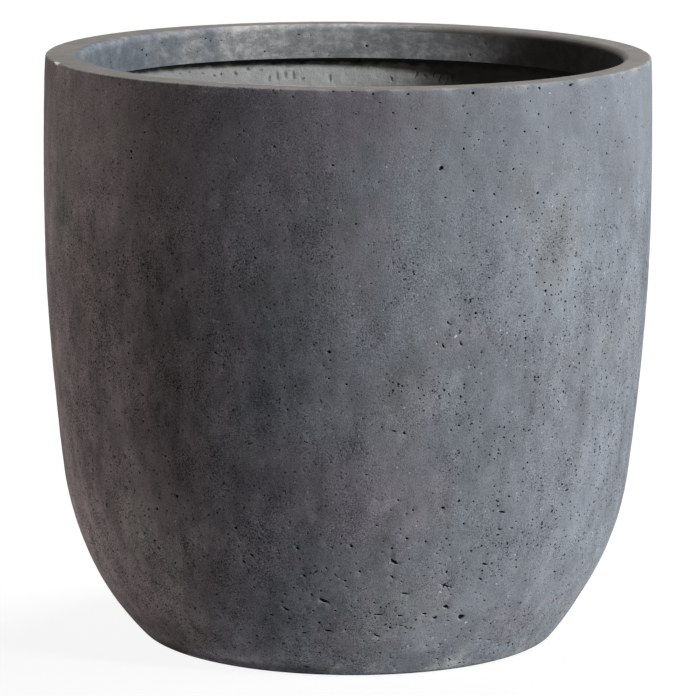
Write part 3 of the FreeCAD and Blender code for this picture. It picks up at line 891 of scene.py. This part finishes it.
class Finish(Nodes):
    """A material, built round its Principled shader."""

    def __init__(self, name, roughness, specular):
        self.material = bpy.data.materials.new(name)
        self.material.use_nodes = True
        super().__init__(self.material.node_tree)
        self.shader = self.tree.nodes["Principled BSDF"].inputs
        self.feed(self.shader["Roughness"], roughness)
        self.feed(self.shader["Specular IOR Level"], specular)
        self.place = self.node("ShaderNodeTexCoord").outputs["Object"]

    def noise(self, texture):
        place = self.node("ShaderNodeMapping", Vector=self.place, Scale=texture.stretch).outputs["Vector"]
        made = self.node(
            "ShaderNodeTexNoise",
            Vector=place,
            Scale=1 / texture.size,
            Detail=texture.detail,
            Roughness=texture.roughness,
            Distortion=texture.distortion,
        )
        return made.outputs["Fac"]

    def patches(self, texture):
        """What a texture gives, in patches, or along its axis up to an uneven edge."""
        value = self.noise(texture)
        if texture.axis:
            value = self.maths("MULTIPLY_ADD", value, texture.reach, self.axis(texture.axis))
        return self.between(value, texture.limits, texture.gives)

    def dots(self, kind):
        """1 inside round dots of up to their radius, in their share of cells of about their pitch."""
        cells = self.node("ShaderNodeTexVoronoi", Vector=self.place, Scale=1 / kind.pitch).outputs
        chance = self.node("ShaderNodeSeparateColor", Color=cells["Color"]).outputs["Red"]
        radius = self.between(chance, (1 - kind.share, 1), (0, kind.radius / kind.pitch))
        return self.between(cells["Distance"], (radius, self.times(radius, DOT_CORE_SHARE)))

    def attribute(self, name):
        return self.node("ShaderNodeAttribute", {"attribute_name": name}).outputs["Fac"]

    def axis(self, name):
        return self.node("ShaderNodeSeparateXYZ", Vector=self.place).outputs[name]

    def mix(self, share, one, other):
        made = self.node("ShaderNodeMix", {"data_type": "RGBA"})
        self.feed(made.inputs["Factor"], share)
        for index, colour in ((MIX_ONE, one), (MIX_OTHER, other)):
            self.feed(made.inputs[index], (*colour, 1) if isinstance(colour, tuple) else colour)
        return made.outputs[MIX_RESULT]

    def layered(self, colour, *textures):
        """A colour with those of textures laid over it in turn."""
        for texture in textures:
            colour = self.mix(self.patches(texture), colour, texture.colour)
        return colour

    def shade(self, colour, tone):
        """A colour made lighter or darker."""
        made = self.node("ShaderNodeVectorMath", {"operation": "SCALE"}, Vector=colour, Scale=tone)
        return made.outputs["Vector"]

    def toned(self, colour, share, tone):
        """A colour made lighter or darker where the share is 1."""
        return self.shade(colour, self.between(share, (0, 1), (1, tone)))

    def bump(self, height, distance, under=None):
        made = self.node("ShaderNodeBump", Height=height, Distance=distance)
        if under is not None:
            self.feed(made.inputs["Normal"], under)
        return made.outputs["Normal"]

    def done(self, **inputs):
        """The finished material. The shader's inputs are named with _ for a blank."""
        for key, value in inputs.items():
            self.feed(self.shader[key.replace("_", " ")], value)
        return self.material


# Colours of the face coat and where they lie. Heights are from the ground.
COOL_GREY = (0.257, 0.270, 0.298)
VIOLET = Texture(
    0.09, 4, distortion=0.5, limits=(-0.165, -0.3), axis="X", reach=-0.5, colour=(0.285, 0.263, 0.293)
)
OLIVE = Texture(0.065, 4, limits=(0.5, 0.72), colour=(0.261, 0.266, 0.274))
DARK = Texture(0.05, 6, 0.6, (1, 1, 0.6), limits=(0.5, 0.78), gives=(0, 0.5), colour=(0.205, 0.203, 0.216))
LIP_GREY = (0.288, 0.272, 0.260)
LIP_DARK = Texture(0.02, 5, limits=(0.35, 0.7), colour=(0.255, 0.243, 0.233))
BAND_GREY = (0.44, 0.435, 0.44)
BAND_SMEAR = Texture(0.006, 6, 0.72, (0.7, 0.7, 1), 0.2, limits=(0.4, 0.66), colour=(0.57, 0.565, 0.56))
BAND_BLUE = Texture(0.022, 5, limits=(0.06, -0.04), axis="X", reach=0.24, colour=(0.20, 0.225, 0.255))
# Painted shade: the band is darker towards +X, where it lies in shade inside the mouth.
BAND_RIGHT_SHADE = Texture(0.022, 5, limits=(0.11, 0.17), axis="X", reach=0.08, colour=(0.19, 0.17, 0.16))
BAND_TONES = BAND_SMEAR._replace(limits=(0.35, 0.68), gives=(0.84, 1.22))
BAND_SHARE = 0.9
CHALK = (0.46, 0.46, 0.46)
CHALK_HEIGHTS = (0.034, 0.004)
CHALK_PATCHES = Texture(0.02, 6, 0.65, limits=(0.48, 0.72))
WORN_PATCHES = Texture(0.016, 4, limits=(0.45, 0.7), gives=(0, 0.75))
CHIP_WHITE = (0.85, 0.84, 0.82)
# Its light and dark: textures that add to its tone or take from it, and what makes them stronger or weaker
# across and up the body.
MOTTLE = Texture(0.012, 6, 0.66, (1, 1, 0.55), limits=(0.3, 0.7), gives=(-0.15, 0.15))
CLOUDS = Texture(0.06, 6, 0.6, (1, 1, 0.6), limits=(0.32, 0.68), gives=(-0.15, 0.15))
BLOTCHES = Texture(0.028, 6, 0.62, (1, 1, 0.7), limits=(0.54, 0.74), gives=(0, 0.28))
FINE_GRAIN = Texture(0.0009, roughness=0.6, limits=(0.3, 0.7), gives=(-0.42, 0.42))
GRAINY_PATCHES = Texture(0.035, limits=(0.4, 0.62), gives=(0.5, 1))
POROUS = Texture(0.045, limits=(0.4, 0.5833), axis="X", reach=0.8333)
POROUS_UP = ((0.33, 0.29), (0.2, 1))
POROUS_CONTRAST = 1.25
CONTRAST_ACROSS = ((-0.1, 0.1), (1.5, 0.8))
CALM_SHARE = 0.35
CALM_UP = ((0.35, 0.28), (0.65, 1))
# Painted light: the lower body towards -X is made paler, a painted glow of light bounced off the floor.
BOUNCE_LIGHT_ACROSS = (-0.02, -0.09)
BOUNCE_LIGHT_DOWN = (0.15, 0.07)
BOUNCE_LIGHT_UP = (0.012, 0.045)
BOUNCE_LIGHT_TONE = 1.5
# Painted shade: the lowest millimetres of the foot towards -X are made darker, a painted contact shadow.
FOOT_SHADE_ACROSS = (0.04, -0.04)
FOOT_SHADE_DOWN = (0.012, 0.003)
FOOT_SHADE_TONE = 0.4
# Its specks, pinholes and pits, the height of its bumps, and its roughness.
SPECKS = Dots(pitch=0.004, radius=0.0009, share=0.25)
SPECK_TONE = 1.8
WIDE_PINHOLES = Dots(pitch=0.0032, radius=0.001, share=0.45)
SMALL_PINHOLES = Dots(pitch=0.0019, radius=0.00065, share=0.38)
PINHOLES_ACROSS = ((-0.06, 0.06), (0.75, 0.3))
PINHOLE_SHARE = 0.95
# Pit rims are made lighter: partly paler paste, partly a painted highlight on their lit edges.
PIT_RIM_PASTE_AND_HIGHLIGHT = ((0, 0.1), (1, 1.35))
# Painted shade: pit floors and pinholes are made nearly black, as shade inside the holes.
PIT_SHADE_DEPTHS = (0.2, 0.6)
HOLE_SHADE_TONE = 0.1
GRAIN_BUMP = 0.0003
PINHOLE_BUMP = 0.0006
COAT_ROUGHNESS = Texture(0.03, limits=(0.3, 0.7), gives=(0.76, 0.92))


def face_coat_finish():
    """Charcoal cement, violet to cool grey: cloudy, grainy, pinholes, chalk at the foot, painted light and
    shade.
    """
    look = Finish("face_coat", roughness=0.85, specular=0.03)
    across, up = look.axis("X"), look.axis("Z")
    lip, band, pit = look.attribute("lip"), look.attribute("band"), look.attribute("pit")
    colour = look.layered(COOL_GREY, VIOLET, OLIVE, DARK)
    colour = look.mix(lip, colour, look.layered(LIP_GREY, LIP_DARK))
    # The band's colour, with painted shade on its +X side.
    band_colour = look.layered(BAND_GREY, BAND_SMEAR, BAND_BLUE, BAND_RIGHT_SHADE)
    band_colour = look.shade(band_colour, look.patches(BAND_TONES))
    colour = look.mix(look.times(band, BAND_SHARE), colour, band_colour)
    chalky = look.times(look.between(up, CHALK_HEIGHTS), look.patches(CHALK_PATCHES))
    worn = look.times(look.attribute("wear"), look.patches(WORN_PATCHES))
    for share in (chalky, worn):
        colour = look.mix(share, colour, CHALK)

    fine = look.noise(FINE_GRAIN)
    grain = look.between(fine, FINE_GRAIN.limits, FINE_GRAIN.gives)
    grain = look.times(grain, look.patches(GRAINY_PATCHES))
    uneven = look.plus(look.patches(MOTTLE), look.patches(CLOUDS), look.patches(BLOTCHES), grain)
    porous = look.times(look.patches(POROUS), look.between(up, *POROUS_UP))
    calm = look.between(look.most(lip, band), (0, 1), (1, CALM_SHARE))
    calm = look.times(calm, look.between(up, *CALM_UP))
    contrast = look.between(porous, (0, 1), (1, POROUS_CONTRAST))
    contrast = look.times(contrast, look.between(across, *CONTRAST_ACROSS), calm)
    colour = look.shade(colour, look.maths("MULTIPLY_ADD", uneven, contrast, 1))
    # Painted light: paler low on the -X side, as floor bounce would light it.
    bounce_light = look.times(look.between(across, BOUNCE_LIGHT_ACROSS), look.between(up, BOUNCE_LIGHT_DOWN))
    bounce_light = look.times(bounce_light, look.between(up, BOUNCE_LIGHT_UP))
    colour = look.toned(colour, bounce_light, BOUNCE_LIGHT_TONE)
    # Painted shade: darker at the very foot on the -X side.
    foot_shade = look.times(look.between(across, FOOT_SHADE_ACROSS), look.between(up, FOOT_SHADE_DOWN))
    colour = look.toned(colour, foot_shade, FOOT_SHADE_TONE)

    colour = look.toned(colour, look.times(look.dots(SPECKS), calm), SPECK_TONE)
    pinholes = look.most(look.dots(WIDE_PINHOLES), look.dots(SMALL_PINHOLES))
    pinholes = look.times(pinholes, look.most(porous, look.between(across, *PINHOLES_ACROSS)), calm)
    # Lighter pit rims: paler paste and a painted highlight.
    colour = look.shade(colour, look.between(pit, *PIT_RIM_PASTE_AND_HIGHLIGHT))
    # Painted shade inside pits and pinholes.
    hole = look.most(look.between(pit, PIT_SHADE_DEPTHS), look.times(pinholes, PINHOLE_SHARE))
    colour = look.toned(colour, hole, HOLE_SHADE_TONE)
    colour = look.mix(look.attribute("fresh"), colour, CHIP_WHITE)
    normal = look.bump(fine, GRAIN_BUMP)
    normal = look.bump(look.times(pinholes, -1), PINHOLE_BUMP, under=normal)
    return look.done(Base_Color=colour, Roughness=look.patches(COAT_ROUGHNESS), Normal=normal)


PALE_CEMENT = (0.88, 0.875, 0.855)
GREY_CEMENT = Texture(0.03, 5, limits=(0.35, 0.65), colour=(0.80, 0.795, 0.78))
STAINS = Texture(0.05, 6, 0.65, limits=(0.56, 0.76), colour=(0.55, 0.54, 0.52))
STAINED_SIDE = Texture(0.02, 5, limits=(-0.02, -0.08), axis="X", reach=0.05, colour=STAINS.colour)
# Painted shade: the inside is darker towards +X, where the rim shades it.
INSIDE_RIGHT_SHADE = STAINED_SIDE._replace(limits=(0.03, 0.1), colour=(0.2, 0.196, 0.186))
# Painted shade: the inner wall and floor are darker lower down in the pot, below a ragged line under the
# lip.
DEEP_INSIDE_SHADE = Texture(0.04, 5, limits=(0.358, 0.338), axis="Z", reach=0.03, colour=(0.24, 0.236, 0.225))
# Painted shade: a near-black strip just under the lip, in the hollow below the ledge.
UNDER_LIP_SHADE = Texture(0.008, 4, limits=(0.358, 0.362), axis="Z", reach=0.006, colour=(0.11, 0.105, 0.10))
FIBRES = Texture(0.0016, distortion=2.5, limits=(0.3, 0.7), gives=(0.92, 1.07))
FIBRE_BUMP = 0.0004
COARSE = Texture(0.006, 4)
COARSE_BUMP = 0.0012
# Painted shade: strokes and pits on the inside are darker down in their grooves.
STROKE_SHADE_TONES = ((0.1, 0.9), (1, 0.62))


def backing_finish():
    """Pale rough fibre cement, stained on the left, with painted shade on the right, deep down and under the
    lip.
    """
    look = Finish("backing_mix", roughness=0.92, specular=0.1)
    # The last three layers are painted shade: on the +X side, deep inside and just under the lip.
    colour = look.layered(PALE_CEMENT, GREY_CEMENT, STAINS, STAINED_SIDE, INSIDE_RIGHT_SHADE, DEEP_INSIDE_SHADE, UNDER_LIP_SHADE)
    colour = look.shade(colour, look.patches(FIBRES))
    # Painted shade in the grooves of strokes and pits.
    colour = look.shade(colour, look.between(look.attribute("pit"), *STROKE_SHADE_TONES))
    normal = look.bump(look.noise(FIBRES), FIBRE_BUMP)
    normal = look.bump(look.noise(COARSE), COARSE_BUMP, under=normal)
    return look.done(Base_Color=colour, Normal=normal)


MAT_WHITE = (0.82, 0.83, 0.80)
MAT_SHADE = (0.62, 0.63, 0.60)
STRANDS = Texture(0.0015, 4, stretch=(1, 1, 0.15), distortion=3)
CROSSING_STRANDS = STRANDS._replace(stretch=(0.2, 0.2, 1))
STRAND_LIMITS = (0.45, 0.65)
STRAND_BUMP = 0.0004


def glass_mat_finish():
    """White glass mat: chopped strands that cross each other."""
    look = Finish("glass_mat", roughness=0.6, specular=0.4)
    weave = look.most(look.noise(STRANDS), look.noise(CROSSING_STRANDS))
    colour = look.mix(look.between(weave, STRAND_LIMITS), MAT_SHADE, MAT_WHITE)
    return look.done(Base_Color=colour, Normal=look.bump(weave, STRAND_BUMP))


RUBBER = (0.022, 0.022, 0.023)
RUBBER_DUST = (0.08, 0.079, 0.075)
DUST = Texture(0.006, 6, 0.65, limits=(0.5, 0.78))
DUST_ROUGHNESS = (0.62, 0.9)
RUBBER_GRAIN = Texture(0.0009, 2)
RUBBER_BUMP = 0.00006


def rubber_finish():
    """Matt black moulded rubber with a little cement dust."""
    look = Finish("plug_rubber", roughness=0.7, specular=0.12)
    dust = look.patches(DUST)
    colour = look.mix(dust, RUBBER, RUBBER_DUST)
    roughness = look.between(dust, (0, 1), DUST_ROUGHNESS)
    normal = look.bump(look.noise(RUBBER_GRAIN), RUBBER_BUMP)
    return look.done(Base_Color=colour, Roughness=roughness, Normal=normal)


# Studio: a grey floor that glows white to the camera and keeps the shadow, a white surround, and lamps.
STAGE_HALF_SIZE = 6.0
STAGE_GREY = (0.2, 0.2, 0.2, 1)
GLOW_DISTANCES = (0.5, 1.6)
GLOWS = (0.9, 1)
AMBIENT = 0.004
KEY_COLOUR = (0.94, 0.98, 1.0)
TOP_COLOUR = (1.0, 0.97, 0.94)
FILL_COLOUR = (1.0, 0.86, 0.735)
# Lamps: the point that each faces, its angles from there in degrees to the right of the front and up, its
# distance, width, height, power and colour. The card lies on the floor by the foot, as white paper would.
Lamp = namedtuple(
    "Lamp", "name target side up distance width height power colour shape", defaults=["RECTANGLE"]
)
MIDDLE = Vector((0, 0, HEIGHT / 2))
OVER_CARD = Vector((0.2, -0.03, 0.5))
LAMPS = [
    Lamp("key", MIDDLE, 52, 24, 2.6, 0.35, 0.35, 32, KEY_COLOUR),
    Lamp("window", MIDDLE, 82, 7, 2.2, 0.7, 0.8, 26, KEY_COLOUR),
    Lamp("top", MIDDLE, 150, 66, 2.3, 0.8, 0.8, 35, TOP_COLOUR),
    Lamp("fill", MIDDLE, -105, 0, 2.4, 0.8, 0.36, 19, FILL_COLOUR),
    Lamp("card", OVER_CARD, 0, -90, 0.498, 0.62, 0.56, 0.3, KEY_COLOUR, "ELLIPSE"),
]


def make_stage():
    half = STAGE_HALF_SIZE
    corners = [(-half, -half, 0), (half, -half, 0), (half, half, 0), (-half, half, 0)]
    mesh = bpy.data.meshes.new("studio_floor")
    mesh.from_pydata(corners, [], [range(len(corners))])
    floor = new_object("studio_floor", mesh)
    look = Finish("studio_floor", roughness=1, specular=0)
    away = look.node("ShaderNodeVectorMath", {"operation": "LENGTH"}, Vector=look.place).outputs["Value"]
    glow = look.times(look.seen(), look.between(away, GLOW_DISTANCES, GLOWS, way="LINEAR"))
    mesh.materials.append(look.done(Base_Color=STAGE_GREY, Emission_Color=WHITE, Emission_Strength=glow))


def make_world():
    world = bpy.data.worlds.new("surround")
    world.use_nodes = True
    bpy.context.scene.world = world
    look = Nodes(world.node_tree)
    background = look.tree.nodes["Background"].inputs
    look.feed(background["Color"], WHITE)
    look.feed(background["Strength"], look.between(look.seen(), (0, 1), (AMBIENT, 1)))


def make_lamps():
    for lamp in LAMPS:
        side, up = math.radians(lamp.side), math.radians(lamp.up)
        way = Vector((math.sin(side) * math.cos(up), -math.cos(side) * math.cos(up), math.sin(up)))
        data = bpy.data.lights.new(lamp.name, "AREA")
        data.shape = lamp.shape
        data.size = lamp.width
        data.size_y = lamp.height
        data.energy = lamp.power
        data.color = lamp.colour
        light = new_object(lamp.name, data)
        light.location = lamp.target + way * lamp.distance
        light.visible_camera = False
        light.rotation_euler = way.to_track_quat("Z", "Y").to_euler()


def dress(piece, finish, body, slot, *nodes):
    """Gives a piece its finish, lets it ride on its body, and hides the nodes it stands for. The slot is not
    used.
    """
    piece.data.materials.append(finish)
    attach(piece, body)
    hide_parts(*nodes)


backing = backing_finish()
glass_mat = glass_mat_finish()
dress(make_face_coat(), face_coat_finish(), "pot", "face_coat", "face_shell")
dress(make_lip_packing(), backing, "pot", "backing_mix", "lip_core")
dress(make_inner_wall(), backing, "pot", "backing_mix", "backing_wall")
dress(make_floor(), backing, "pot", "backing_mix", "floor_slab")
dress(make_plug(), rubber_finish(), "plug", "plug_rubber", "drain_plug")
for node in ("mat_wall_strips", "mat_floor_disc"):
    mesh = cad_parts[node].data
    mesh.materials.clear()
    mesh.materials.append(glass_mat)

make_stage()
make_world()
make_lamps()
Camera.make()
bpy.context.scene.view_settings.view_transform = "Standard"
